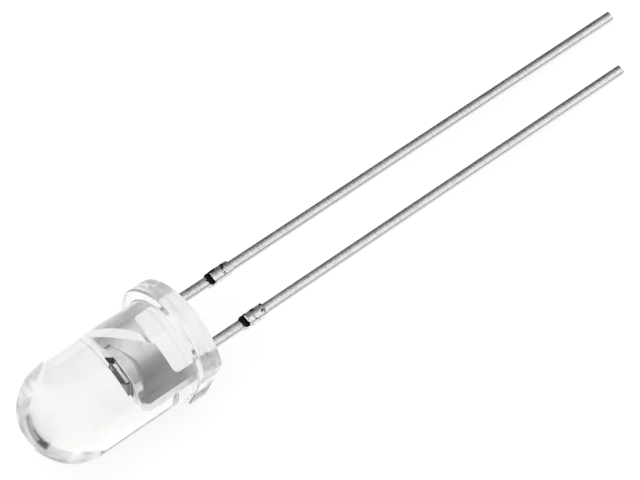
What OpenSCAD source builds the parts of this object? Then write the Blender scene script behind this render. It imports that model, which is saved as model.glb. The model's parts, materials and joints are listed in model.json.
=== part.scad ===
// Clear 5 mm radial phototransistor: a cast epoxy lens on two stamped leads.
// It is drawn lying as it rests on a bench: on the rim of its flange and both lead tips.
// Each piece is drawn in the device frame, where +Z runs along the lens axis to the dome,
// the seating plane is z = 0, +X is the collector (flat) side and +Y faces up.
// The module "lay_down" then turns the device frame into the resting one.

/* [Lens] */
// Diameter of the cylindrical lens barrel
lens_d = 4.9; // [4.6:0.1:5.4]
// Height of the dome's tip above the seating plane
lens_h = 8.7; // [7.6:0.1:10]
// Diameter of the flange
flange_d = 6.0; // [5.7:0.1:6.6]
// Thickness of the flange
flange_h = 1.0; // [0.7:0.1:1.4]
// How far the collector flat is cut in from the flange's rim
flat_cut = 0.5; // [0.2:0.05:0.6]
// Radius that rounds the flange's upper rim and fills its corner with the barrel
edge_r = 0.1; // [0.04:0.02:0.2]

/* [Leads] */
// Width and thickness of a tinned lead, across the middles of its faces
lead_w = 0.48; // [0.4:0.02:0.6]
// How much lower a lead's face is at its edges than in its middle, because of its tin
lead_crown = 0.035; // [0.01:0.005:0.06]
// Distance between the lead centres
lead_pitch = 2.54; // [2.2:0.02:2.9]
// Length of the collector lead below the seating plane
collector_len = 27.4; // [20:0.1:32]
// Length of the emitter lead below the seating plane
emitter_len = 29.0; // [20:0.1:32]
// Radius that rounds the tinned leads' long edges
lead_round = 0.06; // [0.02:0.01:0.12]
// How far the tinned leads reach into the lens
tin_top = 0.3; // [0.1:0.05:0.6]

/* [Dam bar stubs] */
// Distance from the seating plane to the stubs
stub_start = 2.7; // [2:0.1:5]
// Length of a stub along its lead
stub_len = 1.45; // [1:0.05:2.5]
// Thickness of a stub, which is a little more than its lead's
stub_t = 0.5; // [0.45:0.01:0.6]
// How far a stub stands proud of each side of its lead
stub_proud = 0.06; // [0.03:0.01:0.2]
// Length of the sheared slope at each end of a stub
stub_slope = 0.12; // [0.05:0.01:0.3]
// Depth of the nick that the shear leaves at the package end of a stub
nick_depth = 0.08; // [0.03:0.01:0.12]
// Length of that nick along the lead
nick_len = 0.35; // [0.2:0.05:0.6]
// How far the nick runs into the stub
nick_in = 0.3; // [0.1:0.05:0.5]

/* [Lead frame] */
// Thickness of the stamped sheet, which is also the width of its two legs
sheet_t = 0.44; // [0.36:0.02:0.5]
// How far the lead frame sits off the lens axis, towards the emitter side
frame_offset = 0.15; // [0:0.01:0.25]
// Height of the lower edge of the anvil and of the emitter post
neck_z = 1.65; // [1.3:0.05:2]
// Height of the anvil's flat top
anvil_top = 3.75; // [3.4:0.05:4.2]
// Height of the emitter post's bond pad
post_top = 3.2; // [2.9:0.05:3.35]
// Gap between the anvil's slanted edge and the emitter post, measured across the frame
frame_gap = 0.47; // [0.3:0.01:0.6]
// Distance from the lens-side tip of the anvil to the frame's centre line
anvil_reach = 1.23; // [1:0.01:1.3]
// Distance from the anvil's lower corner to the frame's centre line
anvil_foot = 0.03; // [0:0.01:0.15]
// How far the collector's leg is set outwards of its lead, inside the lens
leg_shift = 0.08; // [0:0.01:0.12]
// Height of the anvil's blunt tip
tip_h = 0.14; // [0.05:0.01:0.25]
// Width of the chamfer on the anvil's outer top corner
chamfer_w = 0.22; // [0.1:0.01:0.35]
// Height of that chamfer
chamfer_h = 0.35; // [0.1:0.01:0.5]
// How far the emitter post's bond pad stands out past its lead
pad_out = 0.3; // [0.1:0.01:0.35]
// Radius of the stamped corners between the leads and the wide parts
neck_r = 0.25; // [0.1:0.01:0.3]

/* [Die pedestal] */
// Diameter of the coined pedestal on the anvil
pedestal_d = 1.9; // [1.5:0.05:2.1]
// Thickness of the pedestal across the sheet
pedestal_depth = 1.36; // [1.1:0.02:1.5]
// Height of the pedestal's straight wall
pedestal_wall = 0.35; // [0.2:0.05:0.6]
// Height of the cone that blends the pedestal into the sheet
pedestal_cone = 0.55; // [0.3:0.05:0.8]
// Chamfer round the pedestal's top
pedestal_edge = 0.03; // [0.02:0.01:0.08]

/* [Chip] */
// Side of the square chip
chip_w = 0.9; // [0.6:0.01:1]
// Thickness of the chip
chip_h = 0.15; // [0.08:0.01:0.3]
// Thickness of the silver die attach under the chip
attach_h = 0.05; // [0.02:0.005:0.06]
// How far the die attach flows out past the chip
attach_flow = 0.06; // [0.02:0.01:0.12]
// How much farther it has crept at the back of the emitter side
attach_creep = 0.18; // [0:0.01:0.2]

/* [Bond wire] */
// Diameter of the gold wire
wire_d = 0.03; // [0.02:0.005:0.05]
// Diameter of the ball on the chip
ball_d = 0.1; // [0.08:0.01:0.12]
// Height of the ball
ball_h = 0.03; // [0.02:0.005:0.04]
// Height of the loop above the chip
loop_rise = 0.1; // [0.08:0.01:0.3]
// Bend radius where the wire leaves the ball
ball_bend = 0.06; // [0.04:0.01:0.08]
// Bend radius where the wire turns down to the emitter post
post_bend = 0.3; // [0.15:0.01:0.4]
// Distance from the chip's centre to the ball, towards the emitter side
ball_x = 0.3; // [0:0.01:0.35]
// Length of the flattened stitch on the emitter post
stitch_len = 0.12; // [0.08:0.01:0.16]

/* [Hidden] */
$fn = 96;
FINE_FN = 32;      // circles of the bond wire, which is a hair's width
PAST = 1;          // how far a cutting solid runs past what it cuts

lens_r = lens_d / 2;
flange_r = flange_d / 2;
dome_z = lens_h - lens_r;
flat_x = flange_r - flat_cut;

lead_half = lead_w / 2;
lead_x = lead_pitch / 2;
stub_half = lead_half + stub_proud;
stub_root = lead_half - lead_round;
sheet_half = sheet_t / 2;
outer_x = lead_x + sheet_half;
inner_x = lead_x - sheet_half;

// A lead's face is an arc of radius crown_r, whose centre lies past the lead's middle
crown_r = (pow(lead_half, 2) + pow(lead_crown, 2)) / (2 * lead_crown);
crown_past = crown_r - lead_half;
// A round of radius lead_round joins two faces: its centre, and where it meets an arc
round_r = crown_r - lead_round;
round_at = (sqrt(2 * pow(round_r, 2) - pow(crown_past, 2)) - crown_past) / 2;
face_half = round_at * crown_r / round_r;

// The anvil's slanted edge, and how far it leans over for each millimetre of height
anvil_slant_top = anvil_top - tip_h;
anvil_lean = (anvil_reach - anvil_foot) / (anvil_slant_top - neck_z);
post_inner_top = anvil_foot + frame_gap + anvil_lean * (post_top - neck_z);
post_outer_top = outer_x + pad_out;
pad_x = (post_inner_top + post_outer_top) / 2 + frame_offset;
// The post steps out to its pad on a slope of 45 degrees that starts half-way up
pad_slope_z = (neck_z + post_top) / 2;

chip_half = chip_w / 2;
attach_half = chip_half + attach_flow;
chip_z = anvil_top + attach_h;
chip_top = chip_z + chip_h;
loop_z = chip_top + ball_h + loop_rise;

// How it rests: the lower faces of both tips and the flange's seating rim touch the bench.
// tan(tilt) is the t that solves reach * t - rim_core = crown_past * sqrt(1 - skew^2 * t^2).
skew = (emitter_len - collector_len) / lead_pitch;
reach = collector_len + skew * (lead_x - frame_offset);
rim_core = flange_r - crown_r;
quad_a = reach * reach + pow(crown_past * skew, 2);
quad_b = reach * rim_core;
quad_c = rim_core * rim_core - crown_past * crown_past;
tilt = atan((quad_b + sqrt(quad_b * quad_b - quad_a * quad_c)) / quad_a);
roll = -asin(skew * tan(tilt));

// The origin is under the middle of the resting part's box
flat_half = sqrt(flange_r * flange_r - flat_x * flat_x);
flat_side = flat_x * cos(roll) + flat_half * abs(sin(roll));
dome_end = dome_z * cos(tilt) + lens_r;
tip_top = crown_r - crown_past * cos(roll);
emitter_rise = tip_top + (lead_x + frame_offset) * -sin(roll);
collector_rise = tip_top + (lead_x - frame_offset) * sin(roll);
lead_end = max(emitter_len * cos(tilt) + emitter_rise * sin(tilt),
               collector_len * cos(tilt) + collector_rise * sin(tilt));
rest_shift = [(dome_end - lead_end) / 2, (flat_side - flange_r) / 2, flange_r * cos(tilt)];

// Turns the device frame into the resting one
module lay_down() {
    translate(rest_shift)
        rotate([0, tilt, 0])
            rotate([90, 0, 0])
                rotate([0, -90, 0])
                    rotate([0, 0, roll])
                        children();
}

// Moves a lead-frame piece from the frame's centre line to the lens axis
module on_frame() {
    translate([-frame_offset, 0, 0])
        children();
}

// Extrudes an outline drawn in X and Z through the sheet, evenly about y = 0
module sheet(thickness) {
    rotate([90, 0, 0])
        linear_extrude(thickness, center = true)
            children();
}

// Section of a tinned lead: four crowned faces and four small rounds
module lead_section() {
    for (turn = [0, 90])
        rotate(turn)
            intersection() {
                square([lead_w, 2 * face_half], center = true);
                translate([crown_past, 0])
                    circle(crown_r);
                translate([-crown_past, 0])
                    circle(crown_r);
            }
    for (x = [-1, 1], y = [-1, 1])
        translate([x, y] * round_at)
            circle(lead_round);
}

// Half outline of the lens, turned about the axis: flange, barrel and dome
module lens_profile() {
    square([flange_r, flange_h - edge_r]);
    square([flange_r - edge_r, flange_h]);
    translate([flange_r - edge_r, flange_h - edge_r])
        circle(edge_r);
    square([lens_r, dome_z]);
    difference() {
        translate([lens_r - edge_r, flange_h - edge_r])
            square(2 * edge_r);
        translate([lens_r + edge_r, flange_h + edge_r])
            circle(edge_r);
    }
    intersection() {
        translate([0, dome_z])
            circle(lens_r);
        translate([0, dome_z - edge_r])
            square([lens_r, lens_r + edge_r]);
    }
}

// The turned lens, with its seam along the line that the flange rests on
module lens_outside() {
    difference() {
        rotate([0, 0, -90 - roll])
            rotate_extrude()
                lens_profile();
        translate([flat_x, -flange_r, -PAST])
            cube([flange_r, flange_d, flange_h + 2 * PAST]);
    }
}

// One tinned lead from its tip up into the lens, with its dam bar stub and the nicks in it
module lead_bar(length) {
    difference() {
        union() {
            translate([0, 0, -length])
                linear_extrude(length + tin_top)
                    lead_section();
            translate([0, 0, -stub_start])
                stub();
        }
        for (side = [-1, 1])
            nick(side);
    }
}

// What is left of the dam bar, sheared to a slope at both ends
module stub() {
    sheet(stub_t)
        polygon([
            [-stub_root, 0], [-stub_half, -stub_slope],
            [-stub_half, stub_slope - stub_len], [-stub_root, -stub_len],
            [stub_root, -stub_len], [stub_half, stub_slope - stub_len],
            [stub_half, -stub_slope], [stub_root, 0]
        ]);
}

// A shallow wedge cut across one broad face, which ends deep and square in the stub
module nick(side) {
    nick_end = stub_start + nick_in;
    rotate([90, 0, 90])
        linear_extrude(2 * lead_w, center = true)
            polygon([
                [side * stub_t, -nick_end],
                [side * (lead_half - nick_depth), -nick_end],
                [side * (lead_half + nick_depth), 2 * nick_len - nick_end],
                [side * stub_t, 2 * nick_len - nick_end]
            ]);
}

// The concave corner where a lead meets the wide part above it, for a lead to the right
module neck_corner() {
    difference() {
        translate([inner_x - neck_r, neck_z - neck_r])
            square(neck_r + sheet_half);
        translate([inner_x - neck_r, neck_z - neck_r])
            circle(neck_r);
    }
}

// The wide stamped part of the collector lead, which carries the chip
module anvil_outline() {
    leg_outer = outer_x + leg_shift;
    leg_inner = inner_x + leg_shift;
    polygon([
        [leg_outer, tin_top], [leg_outer, anvil_top - chamfer_h],
        [leg_outer - chamfer_w, anvil_top], [-anvil_reach, anvil_top],
        [-anvil_reach, anvil_slant_top], [-anvil_foot, neck_z],
        [leg_inner, neck_z], [leg_inner, tin_top]
    ]);
    translate([leg_shift, 0])
        neck_corner();
}

// The coined pedestal on the lens axis: a disc on a cone, with a flat front and back
module pedestal() {
    pedestal_r = pedestal_d / 2;
    depth_half = pedestal_depth / 2;
    edge_z = anvil_top - pedestal_edge;
    intersection() {
        rotate_extrude()
            polygon([
                [0, 0], [sheet_half, anvil_top - pedestal_wall - pedestal_cone],
                [pedestal_r, anvil_top - pedestal_wall], [pedestal_r, edge_z],
                [pedestal_r - pedestal_edge, anvil_top], [0, anvil_top]
            ]);
        rotate([90, 0, 90])
            linear_extrude(2 * pedestal_d, center = true)
                polygon([
                    [-depth_half, 0], [depth_half, 0], [depth_half, edge_z],
                    [depth_half - pedestal_edge, anvil_top],
                    [pedestal_edge - depth_half, anvil_top], [-depth_half, edge_z]
                ]);
    }
}

// The emitter post, whose inner edge runs beside the anvil's slanted one
module post_outline() {
    post_foot = anvil_foot + frame_gap;
    polygon([
        [-outer_x, tin_top], [-outer_x, pad_slope_z],
        [-post_outer_top, pad_slope_z + pad_out], [-post_outer_top, post_top],
        [-post_inner_top, post_top], [-post_foot, neck_z],
        [-inner_x, neck_z], [-inner_x, tin_top]
    ]);
    mirror([1, 0])
        neck_corner();
}

module collector_lead() {
    color([0.78, 0.78, 0.79]) {
        on_frame() {
            translate([lead_x, 0, 0])
                lead_bar(collector_len);
            sheet(sheet_t)
                anvil_outline();
        }
        pedestal();
    }
}

module emitter_lead() {
    color([0.78, 0.78, 0.79])
        on_frame() {
            translate([-lead_x, 0, 0])
                lead_bar(emitter_len);
            sheet(sheet_t)
                post_outline();
        }
}

module die_attach() {
    color([0.2, 0.2, 0.21])
        translate([0, 0, anvil_top])
            linear_extrude(attach_h)
                polygon([
                    [-attach_half, attach_half], [attach_half, attach_half],
                    [attach_half, -attach_half], [-attach_half - attach_creep, -attach_half]
                ]);
}

module chip() {
    color([0.13, 0.13, 0.15])
        translate([-chip_half, -chip_half, chip_z])
            cube([chip_w, chip_w, chip_h]);
}

// A quarter bend of the wire about the origin, from the +X side round to the +Z side
module wire_bend(radius) {
    rotate([90, 0, 0])
        rotate_extrude(angle = 90)
            translate([radius, 0])
                circle(wire_d / 2, $fn = FINE_FN);
}

// From the ball on the chip up, across to the emitter post and down to the stitch on its pad
module bond_wire() {
    color([0.9, 0.72, 0.35]) {
        translate([-ball_x, 0, chip_top])
            cylinder(h = ball_h, d = ball_d, $fn = FINE_FN);
        translate([-ball_x, 0, chip_top])
            cylinder(h = loop_z - chip_top - ball_bend, d = wire_d, $fn = FINE_FN);
        translate([-ball_x - ball_bend, 0, loop_z - ball_bend])
            wire_bend(ball_bend);
        translate([post_bend - pad_x, 0, loop_z])
            rotate([0, 90, 0])
                cylinder(h = pad_x - post_bend - ball_x - ball_bend, d = wire_d, $fn = FINE_FN);
        translate([post_bend - pad_x, 0, loop_z - post_bend])
            mirror([1, 0, 0])
                wire_bend(post_bend);
        translate([-pad_x, 0, post_top])
            cylinder(h = loop_z - post_bend - post_top, d = wire_d, $fn = FINE_FN);
        translate([-pad_x, 0, post_top + wire_d / 4])
            cube([stitch_len, 2 * wire_d, wire_d / 2], center = true);
    }
}

// The cast epoxy fills every gap round the pieces that it holds
module lens_body() {
    color([0.93, 0.94, 0.92, 0.4])
        difference() {
            lens_outside();
            collector_lead();
            emitter_lead();
            die_attach();
            chip();
            bond_wire();
        }
}

lay_down() lens_body();
lay_down() collector_lead();
lay_down() emitter_lead();
lay_down() die_attach();
lay_down() chip();
lay_down() bond_wire();
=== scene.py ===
"""A clear 5 mm phototransistor lying on a white studio floor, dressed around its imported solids."""

from __future__ import annotations

import json
import logging
import math
from dataclasses import dataclass
from enum import Enum

import bpy
import numpy as np
from mathutils import Matrix, Vector


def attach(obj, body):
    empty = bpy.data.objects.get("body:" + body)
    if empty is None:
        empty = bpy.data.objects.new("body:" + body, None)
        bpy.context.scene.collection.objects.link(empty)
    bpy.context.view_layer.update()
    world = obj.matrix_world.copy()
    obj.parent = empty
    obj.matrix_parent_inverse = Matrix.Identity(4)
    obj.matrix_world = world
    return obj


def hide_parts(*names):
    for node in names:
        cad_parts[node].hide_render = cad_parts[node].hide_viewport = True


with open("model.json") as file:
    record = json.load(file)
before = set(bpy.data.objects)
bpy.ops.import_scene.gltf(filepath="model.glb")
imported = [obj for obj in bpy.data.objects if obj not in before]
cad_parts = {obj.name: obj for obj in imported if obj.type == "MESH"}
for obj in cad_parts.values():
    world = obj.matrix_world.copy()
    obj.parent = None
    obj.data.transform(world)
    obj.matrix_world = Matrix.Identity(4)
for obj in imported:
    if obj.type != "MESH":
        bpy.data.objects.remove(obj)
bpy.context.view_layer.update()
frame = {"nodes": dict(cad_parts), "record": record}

MM = 0.001
LOG = logging.getLogger("phototransistor")

# Sizes that a piece and its finish share, in millimetres.
BARREL_R = 2.45
TIP_Z = 8.7
FLANGE_H = 1.0
LEAD_X = 1.27
FRAME_OFFSET = 0.15

# A Mix node's sockets for colours, whose names its sockets for numbers share.
MIX_COLOURS = (6, 7)
MIX_RESULT = 2

Colour = tuple[float, float, float]
Span = tuple[float, float]


class Slot(Enum):
    """The record's material slots."""

    EPOXY = "clear_epoxy"
    LEADS = "tinned_lead_frame"
    ATTACH = "silver_epoxy"
    SILICON = "silicon"
    GOLD = "gold"


class Ease(Enum):
    """How a ramp runs from its start to its end."""

    SMOOTH = "SMOOTHSTEP"
    EVEN = "LINEAR"


@dataclass(frozen=True)
class DeviceFrame:
    """The device's own frame: +z up the lens axis from the seating plane, +x to the collector side.

    Attributes:
        origin: Where the lens axis meets the seating plane, in metres in the row frame.
        axes: The device's x, y and z axes as the columns of a rotation in the row frame.
    """

    origin: np.ndarray
    axes: np.ndarray

    @classmethod
    def from_record(cls, record: dict) -> DeviceFrame:
        """Reads the frame from the mounts: the barrel gives z, and the lead pair's offset gives x.

        Args:
            record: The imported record.

        Returns:
            The device frame at rest.
        """
        mounts = {mount["name"]: mount for mount in record["mounts"]}
        origin = np.array(mounts["board_seat"]["pos_m"])
        z_axis = np.array(mounts["lens_barrel"]["axis"])
        x_axis = origin - np.array(mounts["lead_pair"]["pos_m"])
        x_axis -= z_axis * (x_axis @ z_axis)
        x_axis /= np.linalg.norm(x_axis)
        return cls(origin, np.column_stack([x_axis, np.cross(z_axis, x_axis), z_axis]))

    def place(self, points: np.ndarray) -> np.ndarray:
        """Turns points in device millimetres into row metres.

        Args:
            points: An array of shape (..., 3).

        Returns:
            An array of the same shape.
        """
        return self.origin + MM * points @ self.axes.T


class NodeBench:
    """Lays out the nodes of one tree and hands back sockets.

    Attributes:
        tree: The node tree.
    """

    def __init__(self, tree: bpy.types.NodeTree) -> None:
        """Takes up a tree."""
        self.tree = tree

    def add(self, kind: str, **settings: object) -> bpy.types.Node:
        """Adds a node and sets its plain properties.

        Args:
            kind: The node's type name without the ShaderNode prefix.
            **settings: Properties of the node.

        Returns:
            The new node.
        """
        node = self.tree.nodes.new("ShaderNode" + kind)
        for key, value in settings.items():
            setattr(node, key, value)
        return node

    def feed(self, socket: bpy.types.NodeSocket, value: object) -> None:
        """Links a socket into an input, or sets the input's own value.

        Args:
            socket: The input.
            value: A socket, a number, or a colour or vector of three numbers.
        """
        if isinstance(value, bpy.types.NodeSocket):
            self.tree.links.new(value, socket)
        elif isinstance(value, (int, float)):
            socket.default_value = value
        else:
            socket.default_value = (*value, 1.0) if socket.type == "RGBA" else tuple(value)

    def coords(self) -> bpy.types.NodeSocket:
        """Returns Object coordinates in metres."""
        return self.add("TexCoord").outputs["Object"]

    def stretched(self, vector: bpy.types.NodeSocket,
                  scale: tuple[float, float, float]) -> bpy.types.NodeSocket:
        """Scales a vector along each axis.

        Args:
            vector: The vector.
            scale: Its three factors.

        Returns:
            The scaled vector.
        """
        mapping = self.add("Mapping")
        mapping.inputs["Scale"].default_value = scale
        self.feed(mapping.inputs["Vector"], vector)
        return mapping.outputs["Vector"]

    def split(self, vector: bpy.types.NodeSocket) -> list[bpy.types.NodeSocket]:
        """Takes a vector apart.

        Args:
            vector: The vector.

        Returns:
            Its x, y and z.
        """
        node = self.add("SeparateXYZ")
        self.feed(node.inputs[0], vector)
        return list(node.outputs)

    def noise(self, vector: object, scale: float, detail: float = 3.0, rough: float = 0.5,
              warp: float = 0.0) -> bpy.types.NodeSocket:
        """Adds a noise pattern.

        Args:
            vector: Where it is read.
            scale: Waves per unit.
            detail: Octaves.
            rough: How much each octave keeps.
            warp: How far the pattern is pulled about.

        Returns:
            The pattern, from 0 to 1.
        """
        node = self.add("TexNoise")
        self.feed(node.inputs["Vector"], vector)
        for name, value in (("Scale", scale), ("Detail", detail), ("Roughness", rough),
                            ("Distortion", warp)):
            node.inputs[name].default_value = value
        return node.outputs["Fac"]

    def ramp(self, factor: object, low: float, high: float, start: float = 0.0, end: float = 1.0,
             ease: Ease = Ease.SMOOTH) -> bpy.types.NodeSocket:
        """Turns a range of a value into another.

        Args:
            factor: The value.
            low: Where the range starts.
            high: Where it ends.
            start: The result at low.
            end: The result at high.
            ease: How it runs between them.

        Returns:
            The result.
        """
        node = self.add("MapRange", interpolation_type=ease.value)
        for index, value in enumerate((factor, low, high, start, end)):
            self.feed(node.inputs[index], value)
        return node.outputs["Result"]

    def fall(self, factor: object, low: float, high: float) -> bpy.types.NodeSocket:
        """Returns a mask that falls from 1 at low to 0 at high."""
        return self.ramp(factor, low, high, 1.0, 0.0)

    def band(self, factor: object, rising: Span, falling: Span) -> bpy.types.NodeSocket:
        """Masks a band of a value.

        Args:
            factor: The value.
            rising: Where the mask rises from 0 to 1.
            falling: Where it falls back to 0.

        Returns:
            The mask.
        """
        return self.product(self.ramp(factor, *rising), self.fall(factor, *falling))

    def math(self, operation: str, *values: object) -> bpy.types.NodeSocket:
        """Adds a math node.

        Args:
            operation: What it does.
            *values: Its operands, as numbers or sockets.

        Returns:
            The result.
        """
        node = self.add("Math", operation=operation)
        for index, value in enumerate(values):
            self.feed(node.inputs[index], value)
        return node.outputs[0]

    def product(self, first: object, *others: object) -> bpy.types.NodeSocket:
        """Multiplies values, as masks that all have to hold.

        Args:
            first: The first value.
            *others: The others.

        Returns:
            Their product.
        """
        for value in others:
            first = self.math("MULTIPLY", first, value)
        return first

    def opposite(self, mask: bpy.types.NodeSocket) -> bpy.types.NodeSocket:
        """Returns 1 - mask."""
        return self.math("SUBTRACT", 1.0, mask)

    def magnitude(self, value: bpy.types.NodeSocket) -> bpy.types.NodeSocket:
        """Returns a value without its sign."""
        return self.math("ABSOLUTE", value)

    def off(self, value: bpy.types.NodeSocket, centre: object) -> bpy.types.NodeSocket:
        """Returns how far a value lies from a centre."""
        return self.magnitude(self.math("SUBTRACT", value, centre))

    def mix(self, factor: object, first: object, second: object) -> bpy.types.NodeSocket:
        """Mixes two colours.

        Args:
            factor: The second colour's share.
            first: The first colour.
            second: The second colour.

        Returns:
            The mix.
        """
        node = self.add("Mix", data_type="RGBA")
        self.feed(node.inputs["Factor"], factor)
        for index, colour in zip(MIX_COLOURS, (first, second)):
            self.feed(node.inputs[index], colour)
        return node.outputs[MIX_RESULT]

    def bump(self, height: object, distance: float, strength: float = 1.0,
             normal: object = None) -> bpy.types.NodeSocket:
        """Turns a height into a normal.

        Args:
            height: The height, from 0 to 1.
            distance: What 1 stands for, in millimetres.
            strength: How much of it shows.
            normal: A normal to build on.

        Returns:
            The bumped normal.
        """
        node = self.add("Bump")
        node.inputs["Strength"].default_value = strength
        node.inputs["Distance"].default_value = distance * MM
        self.feed(node.inputs["Height"], height)
        if normal is not None:
            self.feed(node.inputs["Normal"], normal)
        return node.outputs["Normal"]

    def seen(self, lit: float, shown: float) -> bpy.types.NodeSocket:
        """Gives one number to rays that light things and another to rays that show them.

        Args:
            lit: The number for diffuse rays.
            shown: The number for camera, glossy and transmission rays.

        Returns:
            The number's socket.
        """
        path = self.add("LightPath")
        shows = path.outputs["Is Camera Ray"]
        for name in ("Is Glossy Ray", "Is Transmission Ray"):
            shows = self.math("MAXIMUM", shows, path.outputs[name])
        return self.ramp(shows, 0.0, 1.0, lit, shown, Ease.EVEN)


class MaterialBench(NodeBench):
    """Lays out the nodes of a new material.

    Attributes:
        material: The material.
    """

    def __init__(self, name: str) -> None:
        """Starts an empty material.

        Args:
            name: The material's name.
        """
        self.material = bpy.data.materials.new(name)
        self.material.use_nodes = True
        super().__init__(self.material.node_tree)
        self.tree.nodes.clear()

    def device_mm(self, device: DeviceFrame) -> bpy.types.NodeSocket:
        """Turns Object coordinates into device millimetres.

        Args:
            device: The device's frame.

        Returns:
            The place in device millimetres.
        """
        mapping = self.add("Mapping", vector_type="TEXTURE")
        mapping.inputs["Location"].default_value = device.origin
        mapping.inputs["Rotation"].default_value = Matrix(device.axes.tolist()).to_euler()
        mapping.inputs["Scale"].default_value = (MM, MM, MM)
        self.feed(mapping.inputs["Vector"], self.coords())
        return mapping.outputs["Vector"]

    def ended(self, shader: bpy.types.NodeSocket) -> bpy.types.Material:
        """Links a shader to the output and returns the material."""
        self.feed(self.add("OutputMaterial").inputs["Surface"], shader)
        return self.material

    def surface(self, **inputs: object) -> bpy.types.Material:
        """Ends the material in one Principled shader.

        Args:
            **inputs: Its inputs, by name with underscores for spaces.

        Returns:
            The material.
        """
        shader = self.add("BsdfPrincipled")
        for name, value in inputs.items():
            self.feed(shader.inputs[name.replace("_", " ")], value)
        return self.ended(shader.outputs[0])

    def glow(self, strength: object) -> bpy.types.NodeSocket:
        """Adds a white emission shader.

        Args:
            strength: Its strength.

        Returns:
            The shader.
        """
        shader = self.add("Emission")
        self.feed(shader.inputs["Strength"], strength)
        return shader.outputs[0]


@dataclass(frozen=True)
class ClearEpoxy:
    """Water-clear cast epoxy: glossy where the mould was polished, duller where it set in the open.

    Lengths are in millimetres.

    Attributes:
        tint: The colour that it gives to light at each face.
        pale_tint: That colour where the resin is purest.
        ior: How strongly it bends light.
        ripple: Height of the mould's slow waves.
        open_face: Heights between which the dull open face turns into the moulded wall.
        flange_h: Thickness of the flange, whose mould was left matt.
        flange_matt: The flange's dullness as a share of the open face's.
        frost: Roughness of the dull faces, at the least and at the most.
        dome_z: Height where the dome starts.
        dome_reach: How far above that its haze is full.
        dome_haze: Roughness of the dome.
    """

    tint: Colour = (0.997, 0.997, 0.978)
    pale_tint: Colour = (1.0, 1.0, 0.995)
    ior: float = 1.53
    ripple: float = 0.003
    open_face: Span = (0.02, 0.12)
    flange_h: float = FLANGE_H
    flange_matt: float = 0.7
    frost: Span = (0.1, 0.22)
    dome_z: float = TIP_Z - BARREL_R
    dome_reach: float = 0.6
    dome_haze: float = 0.13

    def material(self, device: DeviceFrame) -> bpy.types.Material:
        """Builds the finish.

        Args:
            device: The frame that its patterns are drawn in.

        Returns:
            The material.
        """
        bench = MaterialBench(Slot.EPOXY.value)
        place = bench.device_mm(device)
        height = bench.split(place)[2]
        slow = bench.noise(bench.stretched(place, (1.0, 1.0, 0.45)), 0.9, 2.0)
        open_face = bench.fall(height, *self.open_face)
        flange = bench.fall(height, self.flange_h - 0.05, self.flange_h + 0.05)
        dull = bench.math("MAXIMUM", open_face, bench.product(flange, self.flange_matt))
        frost = bench.ramp(bench.noise(place, 14.0, 4.0), 0.3, 0.7, *self.frost)
        dome = bench.ramp(height, self.dome_z, self.dome_z + self.dome_reach, 0.0, self.dome_haze)
        roughness = bench.math("ADD", bench.product(dull, frost), dome)
        tint = bench.mix(bench.ramp(slow, 0.3, 0.7), self.tint, self.pale_tint)
        return bench.surface(Base_Color=tint, Roughness=roughness, IOR=self.ior,
                             Transmission_Weight=1.0, Normal=bench.bump(slow, self.ripple))


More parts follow.
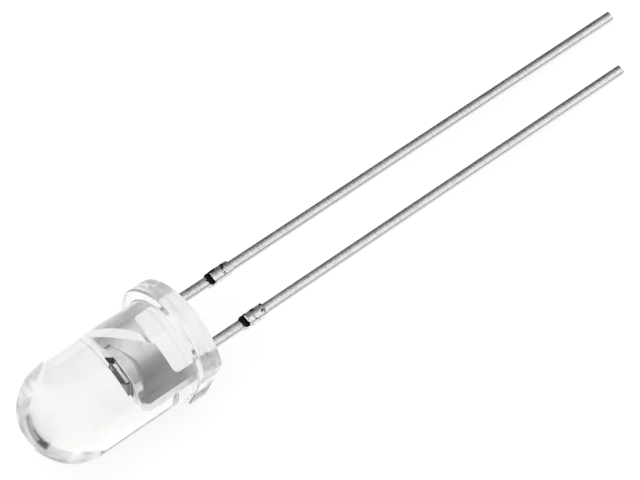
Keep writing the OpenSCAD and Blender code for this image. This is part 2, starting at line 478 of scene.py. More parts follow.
@dataclass(frozen=True)
class TinnedFrame:
    """Silver-plated strip inside the lens and hot-dipped tin outside it.

    Lengths are in millimetres.

    Attributes:
        tin: Colour of the tin.
        dull_tin: Colour of the tin's duller patches.
        streak_and_shade_tin: Colour of the dark hatching, thickened as painted shade along the edge away
            from the collector side.
        edge_shade_tin: Colour of the painted shade line along the upper half of each side face.
        silver: Colour of the silver plating.
        dull_silver: Colour of its duller patches.
        shaded_silver: Colour of the band of painted shade down the anvil's faces.
        shade_x: Where that band's middle lies, from the lens axis.
        shade_reach: How far from its middle the band has faded out.
        sheet_half: Half the sheet's thickness, with a little to spare.
        shade_black: Near-black colour of the nicks and pits: painted shade over their torn faces.
        stub_span: Where the stubs start and end below the seating plane.
        nick_end: Where the nicks end, in the stubs.
        nick_length: How far they run up from there.
        nick_floor: How far a nick's deep end lies from the leads' middle plane.
        nick_rise: How much a nick's floor rises for each millimetre along the lead.
        ragged: How much a nick's torn edges wander.
        skin: How near to a torn face its mask starts to fade, and where it ends.
        stub_crown: How far the tin on a stub's faces stands up at their middle.
        mottle_height: Height of the slow unevenness of both platings.
        stroke_height: Height of the tin's strokes.
        grain_height: Height of its grain.
        lead_x: How far each lead's middle lies from the pair's.
        frame_offset: How far the pair's middle lies from the lens axis.
    """

    tin: Colour = (0.90, 0.90, 0.905)
    dull_tin: Colour = (0.72, 0.72, 0.73)
    streak_and_shade_tin: Colour = (0.5, 0.5, 0.51)
    edge_shade_tin: Colour = (0.58, 0.58, 0.585)
    silver: Colour = (0.91, 0.905, 0.925)
    dull_silver: Colour = (0.78, 0.775, 0.80)
    shaded_silver: Colour = (0.47, 0.465, 0.49)
    shade_x: float = 0.35
    shade_reach: float = 0.7
    sheet_half: float = 0.23
    shade_black: Colour = (0.02, 0.02, 0.02)
    stub_span: Span = (2.7, 4.15)
    nick_end: float = 3.0
    nick_length: float = 0.3
    nick_floor: float = 0.16
    nick_rise: float = 0.08 / 0.35
    ragged: float = 0.45
    skin: Span = (0.006, 0.014)
    stub_crown: float = 0.035
    mottle_height: float = 0.004
    stroke_height: float = 0.008
    grain_height: float = 0.0015
    lead_x: float = LEAD_X
    frame_offset: float = FRAME_OFFSET

    def across(self, bench: NodeBench, x: bpy.types.NodeSocket) -> bpy.types.NodeSocket:
        """Measures the way across each lead from its middle: |x + offset| - lead_x, with the sign of x.

        Args:
            bench: The material.
            x: The device's x.

        Returns:
            The way in millimetres, positive towards the collector side on both leads.
        """
        centred = bench.math("ADD", x, self.frame_offset)
        way = bench.math("SUBTRACT", bench.magnitude(centred), self.lead_x)
        return bench.product(way, bench.math("SIGN", centred))

    def nicked(self, bench: NodeBench, place: bpy.types.NodeSocket) -> bpy.types.NodeSocket:
        """Masks the torn faces of the nicks, which carry near-black painted shade: each one's sloping
        floor and the wall at its end.

        A floor lies at |y| = nick_floor + nick_rise * (z + nick_end), and a wall at z = -nick_end.

        Args:
            bench: The material.
            place: Device coordinates.

        Returns:
            The mask, from 0 to 1.
        """
        _, y, z = bench.split(place)
        ragged = bench.math("MULTIPLY_ADD", bench.noise(place, 8.0, 3.0, 0.6), self.ragged,
                            -self.ragged / 2)
        away = bench.magnitude(y)
        past = bench.math("ADD", z, self.nick_end)
        floor = bench.math("MULTIPLY_ADD", past, self.nick_rise, self.nick_floor)
        sloping = bench.product(bench.fall(bench.off(away, floor), *self.skin),
                                bench.ramp(past, -0.01, 0.0))
        torn_end = bench.math("ADD", past, bench.math("MAXIMUM", ragged, 0.0))
        wall = bench.product(bench.fall(past, *self.skin), bench.ramp(torn_end, -0.02, -0.01),
                             bench.ramp(away, self.nick_floor - 0.01, self.nick_floor))
        near = bench.fall(bench.math("ADD", past, ragged), self.nick_length, self.nick_length + 0.03)
        return bench.product(bench.math("MAXIMUM", sloping, wall), near)

    def pitted(self, bench: NodeBench, place: bpy.types.NodeSocket) -> bpy.types.NodeSocket:
        """Masks the pits on the stubs, which carry near-black painted shade and gather along the edge
        away from the collector side.

        Args:
            bench: The material.
            place: Device coordinates.

        Returns:
            The mask, from 0 to 1.
        """
        x, _, z = bench.split(place)
        start, end = self.stub_span
        stub = bench.band(z, (-end - 0.1, -end + 0.05), (-start - 0.1, -start + 0.05))
        edge = bench.ramp(self.across(bench, x), -0.26, -0.14, 0.14, 0.0)
        pits = bench.math("ADD", bench.noise(place, 4.2, 4.0, 0.7, 0.8), edge)
        return bench.product(stub, bench.ramp(pits, 0.58, 0.63))

    def crown(self, bench: NodeBench, place: bpy.types.NodeSocket) -> bpy.types.NodeSocket:
        """Raises the tin along the middle of each stub as 1 - (4 u)^2, u being the way across it.

        Args:
            bench: The material.
            place: Device coordinates.

        Returns:
            The height, from 0 to 1, which is 0 beyond the stubs.
        """
        x, _, z = bench.split(place)
        across = bench.product(self.across(bench, x), 4.0)
        rise = bench.opposite(bench.product(across, across))
        start, end = self.stub_span
        along = bench.band(z, (-end - 0.05, -end + 0.05), (-start - 0.4, -start - 0.3))
        return bench.product(bench.math("MAXIMUM", rise, 0.0), along)

    def tinned(self, bench: NodeBench, place: bpy.types.NodeSocket,
               strokes: bpy.types.NodeSocket) -> bpy.types.NodeSocket:
        """Colours the tin: duller strokes, dark hatching deepened by painted shade on one edge, and
        painted shade on the side faces.

        Args:
            bench: The material.
            place: Device coordinates.
            strokes: The strokes' pattern.

        Returns:
            The colour.
        """
        x, y, _ = bench.split(place)
        across = self.across(bench, x)
        # Painted shade: extra dark hatching towards the edge away from the collector side.
        side = bench.ramp(across, -0.24, 0.06, 0.2, 0.0)
        hatch = bench.noise(bench.stretched(place, (8.0, 8.0, 13.0)), 1.0, 3.0, 0.6, 0.6)
        hatch_and_shade = bench.ramp(bench.math("ADD", hatch, side), 0.58, 0.78)
        # Painted shade: a dark line along the upper half of each side face.
        edge_shade = bench.product(bench.band(bench.magnitude(across), (0.205, 0.22), (0.26, 0.28)),
                             bench.ramp(y, -0.02, 0.06))
        tin = bench.mix(bench.ramp(strokes, 0.42, 0.7), self.tin, self.dull_tin)
        return bench.mix(edge_shade, bench.mix(hatch_and_shade, tin, self.streak_and_shade_tin), self.edge_shade_tin)

    def silvered(self, bench: NodeBench, place: bpy.types.NodeSocket,
                 mottle: bpy.types.NodeSocket) -> bpy.types.NodeSocket:
        """Colours the silver: duller patches, and a band of painted shade down the anvil's faces.

        Args:
            bench: The material.
            place: Device coordinates.
            mottle: The patches' pattern.

        Returns:
            The colour.
        """
        x, y, _ = bench.split(place)
        # Painted shade: a darker band down the anvil's faces, with a wandering edge.
        off = bench.math("ADD", bench.off(x, self.shade_x), bench.ramp(mottle, 0.3, 0.7, -0.05, 0.05))
        shade_band = bench.product(bench.fall(off, 0.05, self.shade_reach),
                             bench.fall(bench.magnitude(y), self.sheet_half, self.sheet_half + 0.02))
        silver = bench.mix(bench.ramp(mottle, 0.4, 0.7), self.silver, self.dull_silver)
        return bench.mix(shade_band, silver, self.shaded_silver)

    def material(self, device: DeviceFrame) -> bpy.types.Material:
        """Builds the finish.

        Args:
            device: The frame that its patterns are drawn in.

        Returns:
            The material.
        """
        bench = MaterialBench(Slot.LEADS.value)
        place = bench.device_mm(device)
        inside = bench.ramp(bench.split(place)[2], -0.1, 0.1)
        outside = bench.opposite(inside)
        mottle = bench.noise(bench.stretched(place, (3.0, 3.0, 1.4)), 1.0, 4.0, 0.6, 0.6)
        strokes = bench.noise(bench.stretched(place, (3.0, 3.0, 11.0)), 1.0, 3.0, 0.65, 0.3)
        grain = bench.noise(place, 24.0, 3.0)
        # The nicks and pits take a near-black colour as painted shade.
        torn_shade = bench.math("MAXIMUM", self.nicked(bench, place), self.pitted(bench, place))
        plated = bench.mix(inside, self.tinned(bench, place, strokes),
                           self.silvered(bench, place, mottle))
        rough = bench.math("MULTIPLY_ADD", torn_shade, 0.3, bench.ramp(mottle, 0.3, 0.7, 0.2, 0.28))
        rough = bench.math("MULTIPLY_ADD", inside, 0.12, rough)
        normal = bench.bump(mottle, self.mottle_height)
        normal = bench.bump(self.crown(bench, place), self.stub_crown, normal=normal)
        normal = bench.bump(bench.product(strokes, outside), self.stroke_height, normal=normal)
        normal = bench.bump(bench.product(grain, outside), self.grain_height, normal=normal)
        return bench.surface(Base_Color=bench.mix(torn_shade, plated, self.shade_black), Metallic=1.0,
                             Roughness=rough, Normal=normal)


@dataclass(frozen=True)
class SilverEpoxy:
    """Silver-filled adhesive under the chip: bright with flakes, darker towards the emitter, and painted
    with a dark shadow along its foot.

    Lengths are in millimetres.

    Attributes:
        paste_and_shadow: Dark colour of the resin, also used for the painted shadow along its foot.
        flake: Colour of the flakes.
        pale: Colour where flakes fill it.
        dark_x: Where it turns dark, towards the emitter.
        dark_edge: How gradually it does so.
        shadow_seam_z: Height of the painted shadow along its foot, below which it is dark.
        shadow_seam_edge: How gradually that painted shadow ends, to either side.
        ior: How strongly its face mirrors, as seen from inside the epoxy.
        relief: Height of the flakes.
    """

    paste_and_shadow: Colour = (0.03, 0.03, 0.03)
    flake: Colour = (0.2, 0.2, 0.195)
    pale: Colour = (0.6, 0.6, 0.595)
    dark_x: float = -0.4
    dark_edge: float = 0.04
    shadow_seam_z: float = 3.768
    shadow_seam_edge: float = 0.004
    ior: float = 1.1
    relief: float = 0.004

    def material(self, device: DeviceFrame) -> bpy.types.Material:
        """Builds the finish.

        Args:
            device: The frame that its patterns are drawn in.

        Returns:
            The material.
        """
        bench = MaterialBench(Slot.ATTACH.value)
        place = bench.device_mm(device)
        x, _, z = bench.split(place)
        flakes = bench.noise(place, 45.0, 3.0, 0.6)
        clots = bench.noise(place, 9.0, 3.0, 0.6)
        glint = bench.ramp(flakes, 0.62, 0.72)
        # Pale where flakes fill it; dark towards the emitter, and dark below the foot's seam as painted
        # shadow.
        pale_share = bench.product(bench.ramp(x, self.dark_x, self.dark_x + self.dark_edge),
                               bench.ramp(clots, 0.36, 0.44),
                               bench.ramp(z, self.shadow_seam_z - self.shadow_seam_edge, self.shadow_seam_z + self.shadow_seam_edge))
        dark = bench.mix(glint, self.paste_and_shadow, self.flake)
        return bench.surface(Base_Color=bench.mix(pale_share, dark, self.pale), Metallic=glint,
                             Roughness=bench.ramp(flakes, 0.3, 0.7, 0.6, 0.4), IOR=self.ior,
                             Normal=bench.bump(flakes, self.relief))


@dataclass(frozen=True)
class Silicon:
    """A polished dark die with an aluminium ring, a bond pad, and saw-cut sides with a painted highlight
    strip.

    Lengths are in millimetres.

    Attributes:
        half: Half the die's side.
        top_z: Height of its upper face.
        ring: Where the ring starts and ends, inwards from the die's edge.
        ring_edge: How gradually it does so, to either side.
        pad_x: The bond pad's centre, from the die's.
        pad_half: Half the bond pad's side.
        pad_edge: How gradually the pad ends, to either side.
        strip: Where the painted highlight strip on its saw-cut sides starts and ends.
        strip_edge: How gradually it does so.
        body: Colours of the silicon.
        sheen_grey: Its lighter grey over the corner on the collector's side, a painted reflection.
        end_slant: How much that corner's border leans with y.
        end_reach: Where the border starts and ends.
        saw_cut_highlight: Colours of the painted highlight on the saw-cut strip.
        metal: Colour of the ring and the pad.
        ior: How strongly its polished face mirrors, as seen from inside the epoxy.
        relief: Height of the saw's marks.
    """

    half: float = 0.45
    top_z: float = 3.95
    ring: Span = (0.04, 0.07)
    ring_edge: float = 0.005
    pad_x: float = -0.3
    pad_half: float = 0.075
    pad_edge: float = 0.006
    strip: Span = (-0.34, 0.41)
    strip_edge: float = 0.02
    body: tuple[Colour, Colour] = ((0.03, 0.03, 0.034), (0.06, 0.058, 0.066))
    sheen_grey: Colour = (0.36, 0.36, 0.365)
    end_slant: float = -0.47
    end_reach: Span = (0.22, 0.28)
    saw_cut_highlight: tuple[Colour, Colour] = ((0.93, 0.93, 0.93), (0.98, 0.98, 0.98))
    metal: Colour = (0.12, 0.12, 0.125)
    ior: float = 1.06
    relief: float = 0.002

    def contacts(self, bench: NodeBench, x: bpy.types.NodeSocket,
                 y: bpy.types.NodeSocket) -> bpy.types.NodeSocket:
        """Masks the ring along the die's edge and the square bond pad.

        Args:
            bench: The material.
            x: The device's x.
            y: The device's y.

        Returns:
            The mask, from 0 to 1.
        """
        outer, inner = self.ring
        reach = bench.math("MAXIMUM", bench.magnitude(x), bench.magnitude(y))
        ring = bench.band(bench.math("SUBTRACT", self.half, reach),
                          (outer - self.ring_edge, outer + self.ring_edge),
                          (inner - self.ring_edge, inner + self.ring_edge))
        off = bench.math("MAXIMUM", bench.off(x, self.pad_x), bench.magnitude(y))
        pad = bench.fall(off, self.pad_half - self.pad_edge, self.pad_half + self.pad_edge)
        return bench.math("MAXIMUM", ring, pad)

    def material(self, device: DeviceFrame) -> bpy.types.Material:
        """Builds the finish.

        Args:
            device: The frame that its patterns are drawn in.

        Returns:
            The material.
        """
        bench = MaterialBench(Slot.SILICON.value)
        place = bench.device_mm(device)
        x, y, z = bench.split(place)
        top = bench.ramp(z, self.top_z - 0.012, self.top_z - 0.004)
        metal = bench.product(top, self.contacts(bench, x, y))
        saw = bench.noise(bench.stretched(place, (6.0, 6.0, 60.0)), 1.0, 3.0)
        chips = bench.ramp(bench.noise(place, 17.0, 2.0), 0.3, 0.36)
        # Painted highlight: a bright metallic strip over this span of the saw-cut sides.
        start, end = self.strip
        along = bench.band(x, (start, start + self.strip_edge), (end - self.strip_edge, end))
        strip = bench.product(along, bench.opposite(top), chips)
        face = bench.mix(bench.ramp(bench.noise(place, 7.0, 2.0), 0.35, 0.65), *self.body)
        # Painted reflection: a lighter grey over the corner on the collector's side.
        corner = bench.math("MULTIPLY_ADD", y, self.end_slant, x)
        face = bench.mix(bench.ramp(corner, *self.end_reach), face, self.sheen_grey)
        bright = bench.mix(bench.ramp(saw, 0.35, 0.65), *self.saw_cut_highlight)
        colour = bench.mix(metal, bench.mix(strip, face, bright), self.metal)
        return bench.surface(Base_Color=colour, Metallic=bench.math("MAXIMUM", metal, strip),
                             Roughness=bench.ramp(strip, 0.0, 1.0, 0.12, 0.3), IOR=self.ior,
                             Normal=bench.bump(saw, self.relief, 0.4))


@dataclass(frozen=True)
class GoldWire:
    """Drawn bond wire of a pale gold alloy.

    Attributes:
        gold: Its colour.
        drawn: Its colour along the lines that the drawing left.
    """

    gold: Colour = (0.76, 0.72, 0.66)
    drawn: Colour = (0.66, 0.62, 0.56)

    def material(self, device: DeviceFrame) -> bpy.types.Material:
        """Builds the finish.

        Args:
            device: The frame that its patterns are drawn in.

        Returns:
            The material.
        """
        bench = MaterialBench(Slot.GOLD.value)
        lines = bench.noise(bench.device_mm(device), 60.0, 2.0)
        colour = bench.mix(bench.ramp(lines, 0.35, 0.65), self.gold, self.drawn)
        return bench.surface(Base_Color=colour, Metallic=1.0,
                             Roughness=bench.ramp(lines, 0.3, 0.7, 0.16, 0.26))


def grid_mesh(name: str, rings: np.ndarray, start: np.ndarray, end: np.ndarray) -> bpy.types.Mesh:
    """Makes a closed mesh from rings of points with a pole at each end.

    Each ring is joined to the next by quads, and the first and last to their poles by triangles,
    so that with rings that run anticlockwise round +z and climb from start to end every face
    points outwards.

    Args:
        name: The mesh's name.
        rings: Points of shape (rings, points round, 3).
        start: The pole below the first ring.
        end: The pole above the last ring.

    Returns:
        The smooth-shaded mesh.
    """
    count, around, _ = rings.shape
    points = np.concatenate([rings.reshape(-1, 3), start[None], end[None]])
    here = np.arange(count * around).reshape(count, around)
    side = np.roll(here, -1, axis=1)
    quads = np.stack([here[:-1], side[:-1], side[1:], here[1:]], axis=-1).reshape(-1, 4)
    low = np.full(around, count * around)
    first = np.stack([low, side[0], here[0]], axis=-1)
    last = np.stack([low + 1, here[-1], side[-1]], axis=-1)
    corners = np.concatenate([quads.ravel(), first.ravel(), last.ravel()])
    sizes = np.concatenate([np.full(len(quads), 4), np.full(2 * around, 3)])
    mesh = bpy.data.meshes.new(name)
    mesh.vertices.add(len(points))
    mesh.vertices.foreach_set("co", points.astype(np.float32).ravel())
    mesh.loops.add(len(corners))
    mesh.loops.foreach_set("vertex_index", corners.astype(np.int32))
    mesh.polygons.add(len(sizes))
    mesh.polygons.foreach_set("loop_start", np.concatenate([[0], np.cumsum(sizes)[:-1]]).astype(np.int32))
    mesh.polygons.foreach_set("use_smooth", np.ones(len(sizes), bool))
    mesh.update(calc_edges=True)
    mesh.validate()
    return mesh


def add_object(mesh: bpy.types.Mesh, material: bpy.types.Material) -> bpy.types.Object:
    """Puts a mesh in the scene.

    Args:
        mesh: The mesh, in metres in the row frame.
        material: Its only material.

    Returns:
        The object, which bears the mesh's name.
    """
    mesh.materials.append(material)
    made = bpy.data.objects.new(mesh.name, mesh)
    bpy.context.scene.collection.objects.link(made)
    return made


def steps(count: int, end: float = 1.0) -> np.ndarray:
    """Divides the way from 0 to an end evenly.

    Args:
        count: How many parts.
        end: The end.

    Returns:
        The end of each part, as a column.
    """
    return np.linspace(0.0, end, count + 1)[1:, None]


@dataclass
class LensBody:
    """The cast epoxy: a domed barrel on a flange that is cut flat on the collector side.

    Lengths are in millimetres.

    Attributes:
        device: The device's frame.
        barrel_r: Radius of the barrel and of the dome.
        tip_z: Height of the dome's tip.
        flange_r: Radius of the flange.
        flange_h: Its thickness.
        flat_x: How far its flat lies from the lens axis.
        edge_r: Radius of the flange's upper edge and of the fillet at the barrel's foot.
        edge_share: The most of the ledge's width that either of them takes.
        corner_r: Radius of the flat's two corners.
        base_r: Radius of the flange's lower edge.
        dish: Depth of the open face's hollow.
        creep: How far the resin creeps down the leads.
        creep_reach: How far from a lead that has mostly died away.
        lead_half: Half a lead's width.
        lead_x: How far each lead's middle lies from the pair's.
        frame_offset: How far the pair's middle lies from the lens axis.
        around: Points round the axis, without those added at the flat's corners.
        corner_points: Points added at each corner.
        corner_spread: How far to either side of it they reach, in radians.
    """

    device: DeviceFrame
    barrel_r: float = BARREL_R
    tip_z: float = TIP_Z
    flange_r: float = 3.0
    flange_h: float = FLANGE_H
    flat_x: float = 2.5
    edge_r: float = 0.1
    edge_share: float = 0.45
    corner_r: float = 0.12
    base_r: float = 0.03
    dish: float = 0.05
    creep: float = 0.09
    creep_reach: float = 0.1
    lead_half: float = 0.24
    lead_x: float = LEAD_X
    frame_offset: float = FRAME_OFFSET
    around: int = 256
    corner_points: int = 13
    corner_spread: float = 0.06

    def angles(self) -> np.ndarray:
        """Spreads angles all the way round, closer together at the flat's two corners.

        Returns:
            The angles about the lens axis from +x, in order.
        """
        even = np.linspace(-math.pi, math.pi, self.around, endpoint=False)
        corner = math.acos(self.flat_x / self.flange_r)
        close = corner + np.linspace(-self.corner_spread, self.corner_spread, self.corner_points)
        return np.unique(np.round(np.concatenate([even, close, -close]), 6))

    def outline(self, angle: np.ndarray) -> np.ndarray:
        """Radius of the flange's outline: a circle cut by a straight line, with rounded corners.

        The corner's arc is tangent to both, so its centre lies one corner radius inside each, and
        a ray from the axis meets it at (c . d) + sqrt(r^2 - |c|^2 + (c . d)^2).

        Args:
            angle: Angles about the lens axis from +x.

        Returns:
            The radius at each angle.
        """
        spread = np.abs(angle)
        inner_x = self.flat_x - self.corner_r
        inner_y = math.sqrt((self.flange_r - self.corner_r) ** 2 - inner_x**2)
        along = inner_x * np.cos(spread) + inner_y * np.sin(spread)
        room = self.corner_r**2 - inner_x**2 - inner_y**2 + along**2
        corner = along + np.sqrt(np.maximum(room, 0.0))
        on_flat = spread < math.atan2(inner_y, self.flat_x)
        on_rim = spread > math.atan2(inner_y, inner_x)
        # The floor under the cosine only keeps angles off the flat from dividing by nothing.
        flat = self.flat_x / np.maximum(np.cos(spread), 0.1)
        return np.where(on_flat, flat, np.where(on_rim, self.flange_r, corner))

    def base_relief(self, radius: np.ndarray, angle: np.ndarray) -> np.ndarray:
        """Height of the open face: a shallow dish that creeps down round each lead.

        The dish is deepest on the axis and falls off with the fourth power of the radius, and the
        resin creeps down each square lead as exp(-distance / creep_reach).

        Args:
            radius: Distance from the lens axis.
            angle: Angle about it.

        Returns:
            The height above the seating plane.
        """
        x = radius * np.cos(angle) + self.frame_offset
        y = radius * np.sin(angle)
        relief = self.dish * (1.0 - np.minimum(radius / self.flat_x, 1.0) ** 4)
        for centre in (-self.lead_x, self.lead_x):
            gap = np.hypot(np.maximum(np.abs(x - centre) - self.lead_half, 0.0),
                           np.maximum(np.abs(y) - self.lead_half, 0.0))
            relief = relief - (self.creep + self.dish) * np.exp(-gap / self.creep_reach)
        return relief

    def profile(self, angle: np.ndarray) -> tuple[np.ndarray, np.ndarray]:
        """Lays the stations of the profile: base, wall, rim, ledge, fillet, barrel and dome.

        Each station is a radius and a height for every angle. Rounded ones follow
        r (1 - sin t) and r (1 - cos t) over a quarter turn, and the wall and the ledge lie closer
        together at their ends, as 1/2 - cos(t)/2 over half a turn. Where the flat leaves the ledge
        narrow, the rim's rounding and the fillet shrink with it.

        Args:
            angle: Angles about the lens axis, as a row.

        Returns:
            The radii and the heights, a row for each station.
        """
        rim = self.outline(angle)
        ledge = rim - self.barrel_r
        soft = np.minimum(self.edge_r, self.edge_share * ledge)
        top = self.flange_h - soft
        foot = self.flange_h + soft
        dome_z = self.tip_z - self.barrel_r
        disc = steps(60) * (rim - self.base_r)
        lower = steps(4, math.pi / 2)
        upper = steps(7, math.pi / 2)
        climb = 0.5 - 0.5 * np.cos(steps(9, math.pi))
        dome = steps(63, math.pi / 2)[:-1]
        stations = [
            (disc, self.base_relief(disc, angle)),
            (rim - self.base_r * (1 - np.sin(lower)), self.base_r * (1 - np.cos(lower))),
            (rim, self.base_r + climb * (top - self.base_r)),
            (rim - soft * (1 - np.cos(upper)), top + soft * np.sin(upper)),
            (rim - soft - climb * (ledge - 2 * soft), self.flange_h),
            (self.barrel_r + soft * (1 - np.sin(upper)), self.flange_h + soft * (1 - np.cos(upper))),
            (self.barrel_r, foot + steps(39) * (dome_z - foot)),
            (self.barrel_r * np.cos(dome), dome_z + self.barrel_r * np.sin(dome)),
        ]
        laid = [np.broadcast_arrays(*station, angle)[:2] for station in stations]
        radii, heights = zip(*laid)
        return np.concatenate(radii), np.concatenate(heights)

    def build(self) -> bpy.types.Object:
        """Turns the profile round the axis.

        Returns:
            The lens.
        """
        angle = self.angles()[None, :]
        radius, height = self.profile(angle)
        rings = np.stack([radius * np.cos(angle), radius * np.sin(angle), height], axis=-1)
        centre = np.array([0.0, 0.0, float(self.base_relief(np.zeros(1), np.zeros(1))[0])])
        mesh = grid_mesh("epoxy_lens", self.device.place(rings), self.device.place(centre),
                         self.device.place(np.array([0.0, 0.0, self.tip_z])))
        lens = add_object(mesh, ClearEpoxy().material(self.device))
        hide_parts("lens_body")
        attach(lens, "root")
        return lens


@dataclass
class LeadFrame:
    """The two stamped leads, each with its solid's triangles joined so that its crown shades smoothly.

    Lengths are in millimetres, angles in degrees.

    Attributes:
        device: The device's frame.
        neck_z: Height of the anvil's lower edge.
        core_r: How far from the lens axis the anvil's core reaches below that edge.
        slack: How far off the edge a corner still counts as lying in its face.
        weld: The grid that corners are rounded to.
        sharp: The angle between faces from which the crease between them stays sharp.
    """

    device: DeviceFrame
    neck_z: float = 1.65
    core_r: float = 0.2
    slack: float = 0.005
    weld: float = 0.0005
    sharp: float = 38.0

    def joined(self, node: bpy.types.Object) -> tuple[np.ndarray, np.ndarray]:
        """Rounds the corners of a solid's loose triangles to a fine grid, where equal ones become one.

        Args:
            node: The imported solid.

        Returns:
            Its corners in device millimetres, and three of them for each triangle.
        """
        points = np.empty(3 * len(node.data.vertices), np.float32)
        node.data.vertices.foreach_get("co", points)
        corners = np.empty(len(node.data.loops), np.int32)
        node.data.loops.foreach_get("vertex_index", corners)
        local = (points.reshape(-1, 3) - self.device.origin) @ self.device.axes / MM
        cells, back = np.unique(np.round(local / self.weld).astype(np.int64), axis=0, return_inverse=True)
        faces = back.ravel()[corners].reshape(-1, 3)
        distinct = (faces != np.roll(faces, 1, axis=1)).all(axis=1)
        return cells * self.weld, faces[distinct]

    def cleared(self, points: np.ndarray, faces: np.ndarray) -> tuple[np.ndarray, np.ndarray]:
        """Ends the anvil's core flush with the anvil's lower edge, so that nothing crosses the window.

        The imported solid's core tapers on to the seating plane, which the stamped anvil's doesn't.
        Triangles with a corner below that edge and within core_r of the lens axis go, and a fan of
        triangles round the axis closes the ring of corners that they leave in the edge's face.

        Args:
            points: Corners in device millimetres.
            faces: Three corners for each triangle.

        Returns:
            The corners and triangles that are left.
        """
        near = np.hypot(points[:, 0], points[:, 1]) < self.core_r
        below = near & (points[:, 2] < self.neck_z - 2 * self.slack)
        if not below.any():
            return points, faces
        faces = faces[~below[faces].any(axis=1)]
        ring = np.flatnonzero(near & (np.abs(points[:, 2] - self.neck_z) < self.slack))
        ring = ring[np.argsort(np.arctan2(points[ring, 1], points[ring, 0]))]
        fan = np.stack([np.full(len(ring), len(points)), np.roll(ring, -1), ring], axis=-1)
        return np.vstack([points, (0.0, 0.0, self.neck_z)]), np.vstack([faces, fan])

    def lead(self, name: str, node_name: str, material: bpy.types.Material) -> bpy.types.Object:
        """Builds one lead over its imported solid.

        Args:
            name: The lead's name.
            node_name: The solid that it replaces.
            material: Its finish.

        Returns:
            The lead.
        """
        points, faces = self.cleared(*self.joined(frame["nodes"][node_name]))
        used, back = np.unique(faces, return_inverse=True)
        mesh = bpy.data.meshes.new(name)
        mesh.from_pydata(self.device.place(points[used]).tolist(), [], back.reshape(-1, 3).tolist())
        mesh.validate()
        mesh.polygons.foreach_set("use_smooth", np.ones(len(mesh.polygons), bool))
        mesh.set_sharp_from_angle(angle=math.radians(self.sharp))
        lead = add_object(mesh, material)
        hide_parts(node_name)
        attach(lead, "root")
        return lead

    def build(self) -> list[bpy.types.Object]:
        """Builds both leads in one finish.

        Returns:
            The collector's lead and the emitter's.
        """
        material = TinnedFrame().material(self.device)
        return [self.lead("collector_strip", "collector_lead", material),
                self.lead("emitter_strip", "emitter_lead", material)]


@dataclass
class EmbeddedParts:
    """The small solids on the lead frame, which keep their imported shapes.

    Attributes:
        device: The device's frame.
    """

    device: DeviceFrame

    def dress(self) -> list[bpy.types.Object]:
        """Gives each solid its finish.

        Returns:
            The dressed solids.
        """
        finishes = {"die_attach": SilverEpoxy(), "chip": Silicon(), "bond_wire": GoldWire()}
        dressed = []
        for name, finish in finishes.items():
            node = frame["nodes"][name]
            node.data.materials.clear()
            node.data.materials.append(finish.material(self.device))
            dressed.append(node)
        return dressed


@dataclass(frozen=True)
class Card:
    """A curved grey card that stands round the set; its grey is a dim painted glow, not light falling on
    it.

    Attributes:
        name: Its name.
        span: The angles where it starts and ends, in degrees.
        high: Its height, in metres.
        shades: How bright it looks at its foot and at its head.
    """

    name: str
    span: Span
    high: float
    shades: Span


@dataclass(frozen=True)
class Softbox:
    """A square lamp that faces the object.

    Attributes:
        name: Its name.
        azimuth: Its direction round the object, in degrees.
        elevation: Its height as an angle, in degrees.
        distance: How far off it hangs, in metres.
        size: Its side, in metres.
        watts: Its power.
    """

    name: str
    azimuth: float
    elevation: float
    distance: float
    size: float
    watts: float


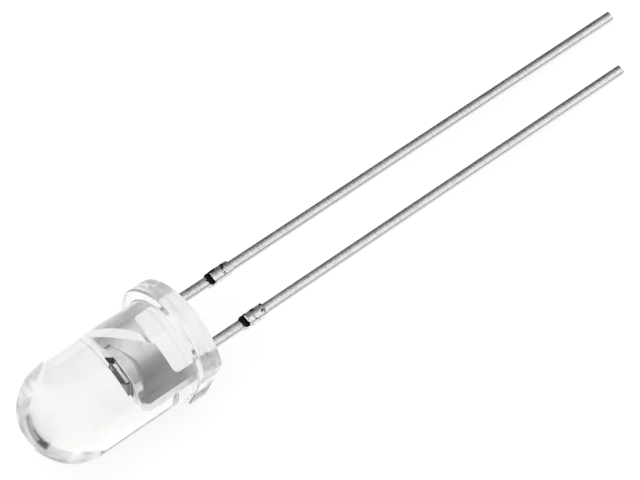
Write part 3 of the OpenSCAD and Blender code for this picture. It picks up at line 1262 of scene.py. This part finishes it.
@dataclass
class Studio:
    """A white floor under a pale dome of light, with dimly glowing grey cards beyond the object.

    Lengths are in metres, angles in degrees.

    Attributes:
        floor_half: Half the floor's side.
        floor_white: How much light the floor throws back.
        floor_shift: How far its grain strays from that.
        floor_grain: Waves of its grain in a metre.
        floor_lift: Brightness that is added to it where it is seen.
        sky: How bright the sky is as a light.
        card_r: How far off the cards stand.
        card_steps: Flat strips in each card.
        cards: The cards.
        key: The lamp.
        camera_azimuth: The camera's direction round the object.
        camera_elevation: Its height as an angle.
        camera_roll: How far it is turned about its own axis.
        camera_distance: How far off it stands.
        camera_lens: Its focal length, in millimetres.
        camera_sensor: The width of its sensor, in millimetres.
        camera_clip: The nearest and the farthest that it sees.
        aim: The point that it looks at.
        bounces: The most bounces of a ray, in all and through clear faces.
        mirror_bounces: The most off glossy faces.
    """

    floor_half: float = 3.0
    floor_white: float = 0.28
    floor_shift: float = 0.01
    floor_grain: float = 40.0
    floor_lift: float = 0.79
    sky: float = 0.8
    card_r: float = 0.7
    card_steps: int = 24
    cards: tuple[Card, ...] = (
        Card("far_card", (20.0, 110.0), 1.15, (0.04, 0.2)),
        Card("edge_card", (10.0, 20.0), 1.15, (0.25, 0.4)),
        Card("side_card", (-88.0, -26.0), 1.1, (0.05, 0.5)),
    )
    key: Softbox = Softbox("key", 150.0, 70.0, 0.9, 0.9, 3.6)
    camera_azimuth: float = -145.890
    camera_elevation: float = 63.267
    camera_roll: float = 17.465
    camera_distance: float = 0.14781
    camera_lens: float = 176.78
    camera_sensor: float = 36.0
    camera_clip: Span = (0.01, 20.0)
    aim: tuple[float, float, float] = (-0.000617, 0.000533, 0.0)
    bounces: int = 32
    mirror_bounces: int = 16

    def lay_floor(self) -> None:
        """Lays the floor, which looks white but lights the object as pale card does."""
        mesh = bpy.data.meshes.new("floor")
        half = self.floor_half
        mesh.from_pydata([(-half, -half, 0), (half, -half, 0), (half, half, 0), (-half, half, 0)],
                         [], [(0, 1, 2, 3)])
        bench = MaterialBench("floor_card")
        grain = bench.noise(bench.coords(), self.floor_grain, 2.0)
        tone = bench.ramp(grain, 0.0, 1.0, self.floor_white - self.floor_shift,
                          self.floor_white + self.floor_shift, Ease.EVEN)
        card = bench.add("BsdfDiffuse")
        bench.feed(card.inputs["Color"], tone)
        both = bench.add("AddShader")
        bench.feed(both.inputs[0], card.outputs[0])
        bench.feed(both.inputs[1], bench.glow(bench.seen(0.0, self.floor_lift)))
        add_object(mesh, bench.ended(both.outputs[0]))

    def hang_sky(self) -> None:
        """Hangs a white sky that lights the object a little less than it shows."""
        world = bpy.data.worlds.new("studio")
        bpy.context.scene.world = world
        world.use_nodes = True
        bench = NodeBench(world.node_tree)
        background = bench.tree.nodes["Background"]
        bench.feed(background.inputs["Color"], (1.0, 1.0, 1.0))
        bench.feed(background.inputs["Strength"], bench.seen(self.sky, 1.0))

    def stand(self, card: Card) -> None:
        """Stands a card round the set, out of the camera's sight.

        It is a band of a cylinder: (card_r cos a, card_r sin a, h) over the angle and height.

        Args:
            card: The card.
        """
        count = self.card_steps + 1
        angle = np.radians(np.linspace(*card.span, count))
        foot = np.stack([np.cos(angle), np.sin(angle), np.zeros(count)], axis=-1) * self.card_r
        head = foot + (0.0, 0.0, card.high)
        here = np.arange(self.card_steps)
        faces = np.stack([here, here + count, here + count + 1, here + 1], axis=-1)
        mesh = bpy.data.meshes.new(card.name)
        mesh.from_pydata(np.concatenate([foot, head]).tolist(), [], faces.tolist())
        bench = MaterialBench(card.name)
        tone = bench.ramp(bench.split(bench.coords())[2], 0.0, card.high, *card.shades, Ease.EVEN)
        # The card glows: its grey is emission that grows with height, not light that falls on it.
        made = add_object(mesh, bench.ended(bench.glow(tone)))
        made.visible_camera = False

    def hang(self, lamp: Softbox) -> None:
        """Hangs a lamp that no clear or glossy face shows.

        Args:
            lamp: The lamp.
        """
        light = bpy.data.lights.new(lamp.name, "AREA")
        light.size = lamp.size
        light.energy = lamp.watts
        made = bpy.data.objects.new(lamp.name, light)
        towards = self.direction(lamp.azimuth, lamp.elevation)
        made.location = towards * lamp.distance
        made.rotation_euler = towards.to_track_quat("Z", "Y").to_euler()
        made.visible_glossy = False
        made.visible_transmission = False
        bpy.context.scene.collection.objects.link(made)

    @staticmethod
    def direction(azimuth: float, elevation: float) -> Vector:
        """Returns the unit vector from the object at an azimuth and elevation in degrees."""
        turn, rise = math.radians(azimuth), math.radians(elevation)
        return Vector((math.cos(rise) * math.cos(turn), math.cos(rise) * math.sin(turn), math.sin(rise)))

    def set_camera(self) -> None:
        """Sets the camera, whose own z axis points away from the object."""
        data = bpy.data.cameras.new("camera")
        data.lens = self.camera_lens
        data.sensor_width = self.camera_sensor
        data.clip_start, data.clip_end = self.camera_clip
        made = bpy.data.objects.new("camera", data)
        back = self.direction(self.camera_azimuth, self.camera_elevation)
        level = Vector((0.0, 0.0, 1.0)).cross(back).normalized()
        rise = back.cross(level)
        roll = math.radians(self.camera_roll)
        right = level * math.cos(roll) + rise * math.sin(roll)
        up = rise * math.cos(roll) - level * math.sin(roll)
        turned = Matrix((right, up, back)).transposed().to_4x4()
        made.matrix_world = Matrix.Translation(Vector(self.aim) + back * self.camera_distance) @ turned
        bpy.context.scene.collection.objects.link(made)
        bpy.context.scene.camera = made

    def build(self) -> None:
        """Sets the camera, the floor, the sky, the cards and the lamp."""
        bpy.context.scene.view_settings.view_transform = "Standard"
        self.set_camera()
        self.lay_floor()
        self.hang_sky()
        for card in self.cards:
            self.stand(card)
        self.hang(self.key)
        cycles = bpy.context.scene.cycles
        cycles.max_bounces = self.bounces
        cycles.glossy_bounces = self.mirror_bounces
        cycles.transmission_bounces = self.bounces


def main() -> None:
    """Builds the camera and stage, then each piece, and reports them."""
    logging.basicConfig(level=logging.INFO, format="%(message)s")
    device = DeviceFrame.from_record(frame["record"])
    Studio().build()
    pieces = [LensBody(device).build(), *LeadFrame(device).build(), *EmbeddedParts(device).dress()]
    for piece in pieces:
        LOG.info("%s: %d faces", piece.name, len(piece.data.polygons))


if __name__ == "__main__":
    main()
